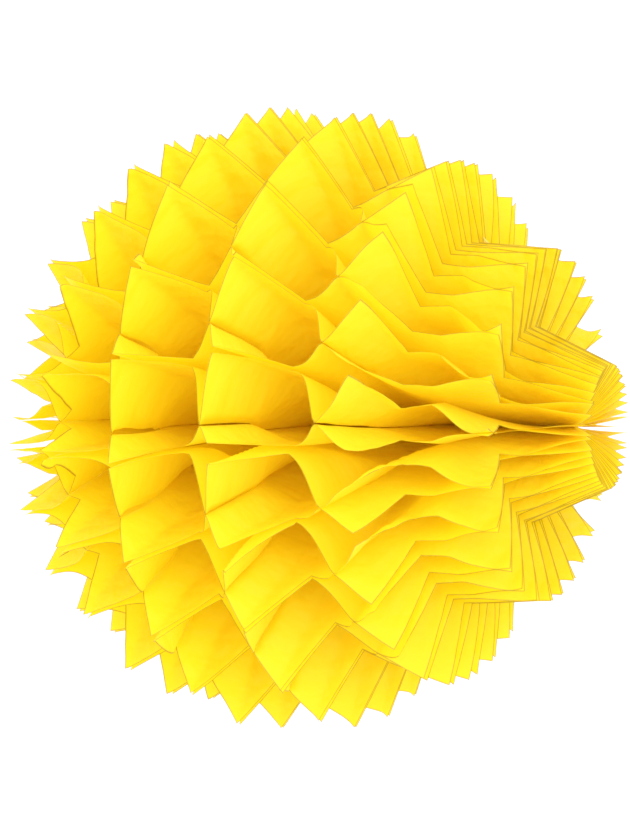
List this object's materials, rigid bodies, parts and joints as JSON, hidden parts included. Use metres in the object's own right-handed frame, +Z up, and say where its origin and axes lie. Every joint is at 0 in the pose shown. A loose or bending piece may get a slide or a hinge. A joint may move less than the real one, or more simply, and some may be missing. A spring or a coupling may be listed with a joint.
{
  "type": "paper honeycomb ball",
  "caption": "Round hanging paper decoration that opens like a fan from a flat pack, with a toothed, pleated tissue surface.",
  "frame": {"origin": "the middle of the spine, which is the centre of the open ball", "axes": "+X along the spine (the binding edge), +Z up towards the hanging hole and the seam of the covers, -Y the front"},
  "size_m": [0.2994, 0.3032, 0.3038],
  "materials": {
    "yellow_tissue": "soft matte dyed tissue with fine crinkles",
    "yellow_board": "matte dyed greyboard",
    "cotton_thread": "twisted cotton",
    "dried_glue": "dried paper glue",
    "sticky_pad": "double-sided sticky paper"
  },
  "bodies": {
    "fixed_cover": {"spine_glue_bead": "dried_glue", "binding_thread": "cotton_thread", "front_cover_card": "yellow_board", "closing_pad_left": "sticky_pad", "closing_pad_right": "sticky_pad", "tissue_leaf_01": "yellow_tissue"},
    "leaf_02": {"tissue_leaf_02": "yellow_tissue"},
    "leaf_03": {"tissue_leaf_03": "yellow_tissue"},
    "leaf_04": {"tissue_leaf_04": "yellow_tissue"},
    "leaf_05": {"tissue_leaf_05": "yellow_tissue"},
    "leaf_06": {"tissue_leaf_06": "yellow_tissue"},
    "leaf_07": {"tissue_leaf_07": "yellow_tissue"},
    "leaf_08": {"tissue_leaf_08": "yellow_tissue"},
    "leaf_09": {"tissue_leaf_09": "yellow_tissue"},
    "leaf_10": {"tissue_leaf_10": "yellow_tissue"},
    "leaf_11": {"tissue_leaf_11": "yellow_tissue"},
    "leaf_12": {"tissue_leaf_12": "yellow_tissue"},
    "leaf_13": {"tissue_leaf_13": "yellow_tissue"},
    "leaf_14": {"tissue_leaf_14": "yellow_tissue"},
    "leaf_15": {"tissue_leaf_15": "yellow_tissue"},
    "leaf_16": {"tissue_leaf_16": "yellow_tissue"},
    "leaf_17": {"tissue_leaf_17": "yellow_tissue"},
    "leaf_18": {"tissue_leaf_18": "yellow_tissue"},
    "leaf_19": {"tissue_leaf_19": "yellow_tissue"},
    "leaf_20": {"tissue_leaf_20": "yellow_tissue"},
    "leaf_21": {"tissue_leaf_21": "yellow_tissue"},
    "leaf_22": {"tissue_leaf_22": "yellow_tissue"},
    "leaf_23": {"tissue_leaf_23": "yellow_tissue"},
    "leaf_24": {"tissue_leaf_24": "yellow_tissue"},
    "leaf_25": {"tissue_leaf_25": "yellow_tissue"},
    "leaf_26": {"tissue_leaf_26": "yellow_tissue"},
    "leaf_27": {"tissue_leaf_27": "yellow_tissue"},
    "leaf_28": {"tissue_leaf_28": "yellow_tissue"},
    "leaf_29": {"tissue_leaf_29": "yellow_tissue"},
    "leaf_30": {"tissue_leaf_30": "yellow_tissue"},
    "leaf_31": {"tissue_leaf_31": "yellow_tissue"},
    "leaf_32": {"tissue_leaf_32": "yellow_tissue"},
    "leaf_33": {"tissue_leaf_33": "yellow_tissue"},
    "leaf_34": {"tissue_leaf_34": "yellow_tissue"},
    "leaf_35": {"tissue_leaf_35": "yellow_tissue"},
    "leaf_36": {"tissue_leaf_36": "yellow_tissue"},
    "leaf_37": {"tissue_leaf_37": "yellow_tissue"},
    "leaf_38": {"tissue_leaf_38": "yellow_tissue"},
    "leaf_39": {"tissue_leaf_39": "yellow_tissue"},
    "leaf_40": {"tissue_leaf_40": "yellow_tissue"},
    "leaf_41": {"tissue_leaf_41": "yellow_tissue"},
    "leaf_42": {"tissue_leaf_42": "yellow_tissue"},
    "leaf_43": {"tissue_leaf_43": "yellow_tissue"},
    "leaf_44": {"tissue_leaf_44": "yellow_tissue"},
    "leaf_45": {"tissue_leaf_45": "yellow_tissue"},
    "leaf_46": {"tissue_leaf_46": "yellow_tissue"},
    "leaf_47": {"tissue_leaf_47": "yellow_tissue"},
    "leaf_48": {"tissue_leaf_48": "yellow_tissue"},
    "leaf_49": {"tissue_leaf_49": "yellow_tissue"},
    "leaf_50": {"tissue_leaf_50": "yellow_tissue"},
    "leaf_51": {"tissue_leaf_51": "yellow_tissue"},
    "leaf_52": {"tissue_leaf_52": "yellow_tissue"},
    "leaf_53": {"tissue_leaf_53": "yellow_tissue"},
    "rear_cover": {"rear_cover_card": "yellow_board", "tissue_leaf_54": "yellow_tissue"}
  },
  "joints": [
    {"name": "rear_cover_hinge", "type": "hinge", "parent": "fixed_cover", "child": "rear_cover", "pos_m": [0, 0, 0], "axis": [-1, 0, 0], "range_deg": [0, 350]},
    {"name": "leaf_02_fold", "type": "hinge", "parent": "fixed_cover", "child": "leaf_02", "pos_m": [0, 0, 0], "axis": [-1, 0, 0], "range_deg": [0, 2.68], "deforming": ["tissue_leaf_02"]},
    {"name": "leaf_03_fold", "type": "hinge", "parent": "fixed_cover", "child": "leaf_03", "pos_m": [0, 0, 0], "axis": [-1, 0, 0], "range_deg": [0, 8.31], "deforming": ["tissue_leaf_03"]},
    {"name": "leaf_04_fold", "type": "hinge", "parent": "fixed_cover", "child": "leaf_04", "pos_m": [0, 0, 0], "axis": [-1, 0, 0], "range_deg": [0, 11.98], "deforming": ["tissue_leaf_04"]},
    {"name": "leaf_05_fold", "type": "hinge", "parent": "fixed_cover", "child": "leaf_05", "pos_m": [0, 0, 0], "axis": [-1, 0, 0], "range_deg": [0, 15.88], "deforming": ["tissue_leaf_05"]},
    {"name": "leaf_06_fold", "type": "hinge", "parent": "fixed_cover", "child": "leaf_06", "pos_m": [0, 0, 0], "axis": [-1, 0, 0], "range_deg": [0, 19.8], "deforming": ["tissue_leaf_06"]},
    {"name": "leaf_07_fold", "type": "hinge", "parent": "fixed_cover", "child": "leaf_07", "pos_m": [0, 0, 0], "axis": [-1, 0, 0], "range_deg": [0, 24.98], "deforming": ["tissue_leaf_07"]},
    {"name": "leaf_08_fold", "type": "hinge", "parent": "fixed_cover", "child": "leaf_08", "pos_m": [0, 0, 0], "axis": [-1, 0, 0], "range_deg": [0, 30.86], "deforming": ["tissue_leaf_08"]},
    {"name": "leaf_09_fold", "type": "hinge", "parent": "fixed_cover", "child": "leaf_09", "pos_m": [0, 0, 0], "axis": [-1, 0, 0], "range_deg": [0, 37.71], "deforming": ["tissue_leaf_09"]},
    {"name": "leaf_10_fold", "type": "hinge", "parent": "fixed_cover", "child": "leaf_10", "pos_m": [0, 0, 0], "axis": [-1, 0, 0], "range_deg": [0, 44.81], "deforming": ["tissue_leaf_10"]},
    {"name": "leaf_11_fold", "type": "hinge", "parent": "fixed_cover", "child": "leaf_11", "pos_m": [0, 0, 0], "axis": [-1, 0, 0], "range_deg": [0, 52.29], "deforming": ["tissue_leaf_11"]},
    {"name": "leaf_12_fold", "type": "hinge", "parent": "fixed_cover", "child": "leaf_12", "pos_m": [0, 0, 0], "axis": [-1, 0, 0], "range_deg": [0, 59.63], "deforming": ["tissue_leaf_12"]},
    {"name": "leaf_13_fold", "type": "hinge", "parent": "fixed_cover", "child": "leaf_13", "pos_m": [0, 0, 0], "axis": [-1, 0, 0], "range_deg": [0, 67.14], "deforming": ["tissue_leaf_13"]},
    {"name": "leaf_14_fold", "type": "hinge", "parent": "fixed_cover", "child": "leaf_14", "pos_m": [0, 0, 0], "axis": [-1, 0, 0], "range_deg": [0, 74.48], "deforming": ["tissue_leaf_14"]},
    {"name": "leaf_15_fold", "type": "hinge", "parent": "fixed_cover", "child": "leaf_15", "pos_m": [0, 0, 0], "axis": [-1, 0, 0], "range_deg": [0, 82.23], "deforming": ["tissue_leaf_15"]},
    {"name": "leaf_16_fold", "type": "hinge", "parent": "fixed_cover", "child": "leaf_16", "pos_m": [0, 0, 0], "axis": [-1, 0, 0], "range_deg": [0, 90.07], "deforming": ["tissue_leaf_16"]},
    {"name": "leaf_17_fold", "type": "hinge", "parent": "fixed_cover", "child": "leaf_17", "pos_m": [0, 0, 0], "axis": [-1, 0, 0], "range_deg": [0, 97.87], "deforming": ["tissue_leaf_17"]},
    {"name": "leaf_18_fold", "type": "hinge", "parent": "fixed_cover", "child": "leaf_18", "pos_m": [0, 0, 0], "axis": [-1, 0, 0], "range_deg": [0, 105.7], "deforming": ["tissue_leaf_18"]},
    {"name": "leaf_19_fold", "type": "hinge", "parent": "fixed_cover", "child": "leaf_19", "pos_m": [0, 0, 0], "axis": [-1, 0, 0], "range_deg": [0, 112.91], "deforming": ["tissue_leaf_19"]},
    {"name": "leaf_20_fold", "type": "hinge", "parent": "fixed_cover", "child": "leaf_20", "pos_m": [0, 0, 0], "axis": [-1, 0, 0], "range_deg": [0, 120.01], "deforming": ["tissue_leaf_20"]},
    {"name": "leaf_21_fold", "type": "hinge", "parent": "fixed_cover", "child": "leaf_21", "pos_m": [0, 0, 0], "axis": [-1, 0, 0], "range_deg": [0, 127.22], "deforming": ["tissue_leaf_21"]},
    {"name": "leaf_22_fold", "type": "hinge", "parent": "fixed_cover", "child": "leaf_22", "pos_m": [0, 0, 0], "axis": [-1, 0, 0], "range_deg": [0, 134.81], "deforming": ["tissue_leaf_22"]},
    {"name": "leaf_23_fold", "type": "hinge", "parent": "fixed_cover", "child": "leaf_23", "pos_m": [0, 0, 0], "axis": [-1, 0, 0], "range_deg": [0, 141.96], "deforming": ["tissue_leaf_23"]},
    {"name": "leaf_24_fold", "type": "hinge", "parent": "fixed_cover", "child": "leaf_24", "pos_m": [0, 0, 0], "axis": [-1, 0, 0], "range_deg": [0, 149.3], "deforming": ["tissue_leaf_24"]},
    {"name": "leaf_25_fold", "type": "hinge", "parent": "fixed_cover", "child": "leaf_25", "pos_m": [0, 0, 0], "axis": [-1, 0, 0], "range_deg": [0, 156.05], "deforming": ["tissue_leaf_25"]},
    {"name": "leaf_26_fold", "type": "hinge", "parent": "fixed_cover", "child": "leaf_26", "pos_m": [0, 0, 0], "axis": [-1, 0, 0], "range_deg": [0, 162.91], "deforming": ["tissue_leaf_26"]},
    {"name": "leaf_27_fold", "type": "hinge", "parent": "fixed_cover", "child": "leaf_27", "pos_m": [0, 0, 0], "axis": [-1, 0, 0], "range_deg": [0, 169.21], "deforming": ["tissue_leaf_27"]},
    {"name": "leaf_28_fold", "type": "hinge", "parent": "fixed_cover", "child": "leaf_28", "pos_m": [0, 0, 0], "axis": [-1, 0, 0], "range_deg": [0, 175.58], "deforming": ["tissue_leaf_28"]},
    {"name": "leaf_29_fold", "type": "hinge", "parent": "fixed_cover", "child": "leaf_29", "pos_m": [0, 0, 0], "axis": [-1, 0, 0], "range_deg": [0, 181.45], "deforming": ["tissue_leaf_29"]},
    {"name": "leaf_30_fold", "type": "hinge", "parent": "fixed_cover", "child": "leaf_30", "pos_m": [0, 0, 0], "axis": [-1, 0, 0], "range_deg": [0, 187.33], "deforming": ["tissue_leaf_30"]},
    {"name": "leaf_31_fold", "type": "hinge", "parent": "fixed_cover", "child": "leaf_31", "pos_m": [0, 0, 0], "axis": [-1, 0, 0], "range_deg": [0, 192.98], "deforming": ["tissue_leaf_31"]},
    {"name": "leaf_32_fold", "type": "hinge", "parent": "fixed_cover", "child": "leaf_32", "pos_m": [0, 0, 0], "axis": [-1, 0, 0], "range_deg": [0, 198.85], "deforming": ["tissue_leaf_32"]},
    {"name": "leaf_33_fold", "type": "hinge", "parent": "fixed_cover", "child": "leaf_33", "pos_m": [0, 0, 0], "axis": [-1, 0, 0], "range_deg": [0, 204.52], "deforming": ["tissue_leaf_33"]},
    {"name": "leaf_34_fold", "type": "hinge", "parent": "fixed_cover", "child": "leaf_34", "pos_m": [0, 0, 0], "axis": [-1, 0, 0], "range_deg": [0, 210.4], "deforming": ["tissue_leaf_34"]},
    {"name": "leaf_35_fold", "type": "hinge", "parent": "fixed_cover", "child": "leaf_35", "pos_m": [0, 0, 0], "axis": [-1, 0, 0], "range_deg": [0, 216.69], "deforming": ["tissue_leaf_35"]},
    {"name": "leaf_36_fold", "type": "hinge", "parent": "fixed_cover", "child": "leaf_36", "pos_m": [0, 0, 0], "axis": [-1, 0, 0], "range_deg": [0, 224.28], "deforming": ["tissue_leaf_36"]},
    {"name": "leaf_37_fold", "type": "hinge", "parent": "fixed_cover", "child": "leaf_37", "pos_m": [0, 0, 0], "axis": [-1, 0, 0], "range_deg": [0, 231.72], "deforming": ["tissue_leaf_37"]},
    {"name": "leaf_38_fold", "type": "hinge", "parent": "fixed_cover", "child": "leaf_38", "pos_m": [0, 0, 0], "axis": [-1, 0, 0], "range_deg": [0, 239.56], "deforming": ["tissue_leaf_38"]},
    {"name": "leaf_39_fold", "type": "hinge", "parent": "fixed_cover", "child": "leaf_39", "pos_m": [0, 0, 0], "axis": [-1, 0, 0], "range_deg": [0, 247.25], "deforming": ["tissue_leaf_39"]},
    {"name": "leaf_40_fold", "type": "hinge", "parent": "fixed_cover", "child": "leaf_40", "pos_m": [0, 0, 0], "axis": [-1, 0, 0], "range_deg": [0, 255.09], "deforming": ["tissue_leaf_40"]},
    {"name": "leaf_41_fold", "type": "hinge", "parent": "fixed_cover", "child": "leaf_41", "pos_m": [0, 0, 0], "axis": [-1, 0, 0], "range_deg": [0, 262.89], "deforming": ["tissue_leaf_41"]},
    {"name": "leaf_42_fold", "type": "hinge", "parent": "fixed_cover", "child": "leaf_42", "pos_m": [0, 0, 0], "axis": [-1, 0, 0], "range_deg": [0, 270.73], "deforming": ["tissue_leaf_42"]},
    {"name": "leaf_43_fold", "type": "hinge", "parent": "fixed_cover", "child": "leaf_43", "pos_m": [0, 0, 0], "axis": [-1, 0, 0], "range_deg": [0, 278.65], "deforming": ["tissue_leaf_43"]},
    {"name": "leaf_44_fold", "type": "hinge", "parent": "fixed_cover", "child": "leaf_44", "pos_m": [0, 0, 0], "axis": [-1, 0, 0], "range_deg": [0, 286.48], "deforming": ["tissue_leaf_44"]},
    {"name": "leaf_45_fold", "type": "hinge", "parent": "fixed_cover", "child": "leaf_45", "pos_m": [0, 0, 0], "axis": [-1, 0, 0], "range_deg": [0, 294.51], "deforming": ["tissue_leaf_45"]},
    {"name": "leaf_46_fold", "type": "hinge", "parent": "fixed_cover", "child": "leaf_46", "pos_m": [0, 0, 0], "axis": [-1, 0, 0], "range_deg": [0, 302.34], "deforming": ["tissue_leaf_46"]},
    {"name": "leaf_47_fold", "type": "hinge", "parent": "fixed_cover", "child": "leaf_47", "pos_m": [0, 0, 0], "axis": [-1, 0, 0], "range_deg": [0, 309.77], "deforming": ["tissue_leaf_47"]},
    {"name": "leaf_48_fold", "type": "hinge", "parent": "fixed_cover", "child": "leaf_48", "pos_m": [0, 0, 0], "axis": [-1, 0, 0], "range_deg": [0, 315.89], "deforming": ["tissue_leaf_48"]},
    {"name": "leaf_49_fold", "type": "hinge", "parent": "fixed_cover", "child": "leaf_49", "pos_m": [0, 0, 0], "axis": [-1, 0, 0], "range_deg": [0, 321.9], "deforming": ["tissue_leaf_49"]},
    {"name": "leaf_50_fold", "type": "hinge", "parent": "fixed_cover", "child": "leaf_50", "pos_m": [0, 0, 0], "axis": [-1, 0, 0], "range_deg": [0, 327.29], "deforming": ["tissue_leaf_50"]},
    {"name": "leaf_51_fold", "type": "hinge", "parent": "fixed_cover", "child": "leaf_51", "pos_m": [0, 0, 0], "axis": [-1, 0, 0], "range_deg": [0, 332.85], "deforming": ["tissue_leaf_51"]},
    {"name": "leaf_52_fold", "type": "hinge", "parent": "fixed_cover", "child": "leaf_52", "pos_m": [0, 0, 0], "axis": [-1, 0, 0], "range_deg": [0, 338.24], "deforming": ["tissue_leaf_52"]},
    {"name": "leaf_53_fold", "type": "hinge", "parent": "fixed_cover", "child": "leaf_53", "pos_m": [0, 0, 0], "axis": [-1, 0, 0], "range_deg": [0, 346.11], "deforming": ["tissue_leaf_53"]}
  ],
  "couplings": [
    {"joint": "leaf_02_fold", "follows": "rear_cover_hinge", "ratio": 0.007634},
    {"joint": "leaf_03_fold", "follows": "rear_cover_hinge", "ratio": 0.02372},
    {"joint": "leaf_04_fold", "follows": "rear_cover_hinge", "ratio": 0.034211},
    {"joint": "leaf_05_fold", "follows": "rear_cover_hinge", "ratio": 0.04535},
    {"joint": "leaf_06_fold", "follows": "rear_cover_hinge", "ratio": 0.05654},
    {"joint": "leaf_07_fold", "follows": "rear_cover_hinge", "ratio": 0.071358},
    {"joint": "leaf_08_fold", "follows": "rear_cover_hinge", "ratio": 0.088144},
    {"joint": "leaf_09_fold", "follows": "rear_cover_hinge", "ratio": 0.10771},
    {"joint": "leaf_10_fold", "follows": "rear_cover_hinge", "ratio": 0.12799},
    {"joint": "leaf_11_fold", "follows": "rear_cover_hinge", "ratio": 0.14938},
    {"joint": "leaf_12_fold", "follows": "rear_cover_hinge", "ratio": 0.17036},
    {"joint": "leaf_13_fold", "follows": "rear_cover_hinge", "ratio": 0.1918},
    {"joint": "leaf_14_fold", "follows": "rear_cover_hinge", "ratio": 0.21278},
    {"joint": "leaf_15_fold", "follows": "rear_cover_hinge", "ratio": 0.23493},
    {"joint": "leaf_16_fold", "follows": "rear_cover_hinge", "ratio": 0.25731},
    {"joint": "leaf_17_fold", "follows": "rear_cover_hinge", "ratio": 0.27959},
    {"joint": "leaf_18_fold", "follows": "rear_cover_hinge", "ratio": 0.30197},
    {"joint": "leaf_19_fold", "follows": "rear_cover_hinge", "ratio": 0.32257},
    {"joint": "leaf_20_fold", "follows": "rear_cover_hinge", "ratio": 0.34285},
    {"joint": "leaf_21_fold", "follows": "rear_cover_hinge", "ratio": 0.36345},
    {"joint": "leaf_22_fold", "follows": "rear_cover_hinge", "ratio": 0.38513},
    {"joint": "leaf_23_fold", "follows": "rear_cover_hinge", "ratio": 0.40556},
    {"joint": "leaf_24_fold", "follows": "rear_cover_hinge", "ratio": 0.42654},
    {"joint": "leaf_25_fold", "follows": "rear_cover_hinge", "ratio": 0.44584},
    {"joint": "leaf_26_fold", "follows": "rear_cover_hinge", "ratio": 0.46542},
    {"joint": "leaf_27_fold", "follows": "rear_cover_hinge", "ratio": 0.48344},
    {"joint": "leaf_28_fold", "follows": "rear_cover_hinge", "ratio": 0.50162},
    {"joint": "leaf_29_fold", "follows": "rear_cover_hinge", "ratio": 0.5184},
    {"joint": "leaf_30_fold", "follows": "rear_cover_hinge", "ratio": 0.53519},
    {"joint": "leaf_31_fold", "follows": "rear_cover_hinge", "ratio": 0.55134},
    {"joint": "leaf_32_fold", "follows": "rear_cover_hinge", "ratio": 0.56812},
    {"joint": "leaf_33_fold", "follows": "rear_cover_hinge", "ratio": 0.58432},
    {"joint": "leaf_34_fold", "follows": "rear_cover_hinge", "ratio": 0.60111},
    {"joint": "leaf_35_fold", "follows": "rear_cover_hinge", "ratio": 0.61909},
    {"joint": "leaf_36_fold", "follows": "rear_cover_hinge", "ratio": 0.64077},
    {"joint": "leaf_37_fold", "follows": "rear_cover_hinge", "ratio": 0.66204},
    {"joint": "leaf_38_fold", "follows": "rear_cover_hinge", "ratio": 0.68442},
    {"joint": "leaf_39_fold", "follows": "rear_cover_hinge", "ratio": 0.7064},
    {"joint": "leaf_40_fold", "follows": "rear_cover_hinge", "ratio": 0.72879},
    {"joint": "leaf_41_fold", "follows": "rear_cover_hinge", "ratio": 0.75109},
    {"joint": "leaf_42_fold", "follows": "rear_cover_hinge", "ratio": 0.77347},
    {"joint": "leaf_43_fold", "follows": "rear_cover_hinge", "ratio": 0.7961},
    {"joint": "leaf_44_fold", "follows": "rear_cover_hinge", "ratio": 0.81848},
    {"joint": "leaf_45_fold", "follows": "rear_cover_hinge", "ratio": 0.84142},
    {"joint": "leaf_46_fold", "follows": "rear_cover_hinge", "ratio": 0.8638},
    {"joint": "leaf_47_fold", "follows": "rear_cover_hinge", "ratio": 0.88503},
    {"joint": "leaf_48_fold", "follows": "rear_cover_hinge", "ratio": 0.90252},
    {"joint": "leaf_49_fold", "follows": "rear_cover_hinge", "ratio": 0.9197},
    {"joint": "leaf_50_fold", "follows": "rear_cover_hinge", "ratio": 0.93508},
    {"joint": "leaf_51_fold", "follows": "rear_cover_hinge", "ratio": 0.95098},
    {"joint": "leaf_52_fold", "follows": "rear_cover_hinge", "ratio": 0.96637},
    {"joint": "leaf_53_fold", "follows": "rear_cover_hinge", "ratio": 0.98887}
  ]
}
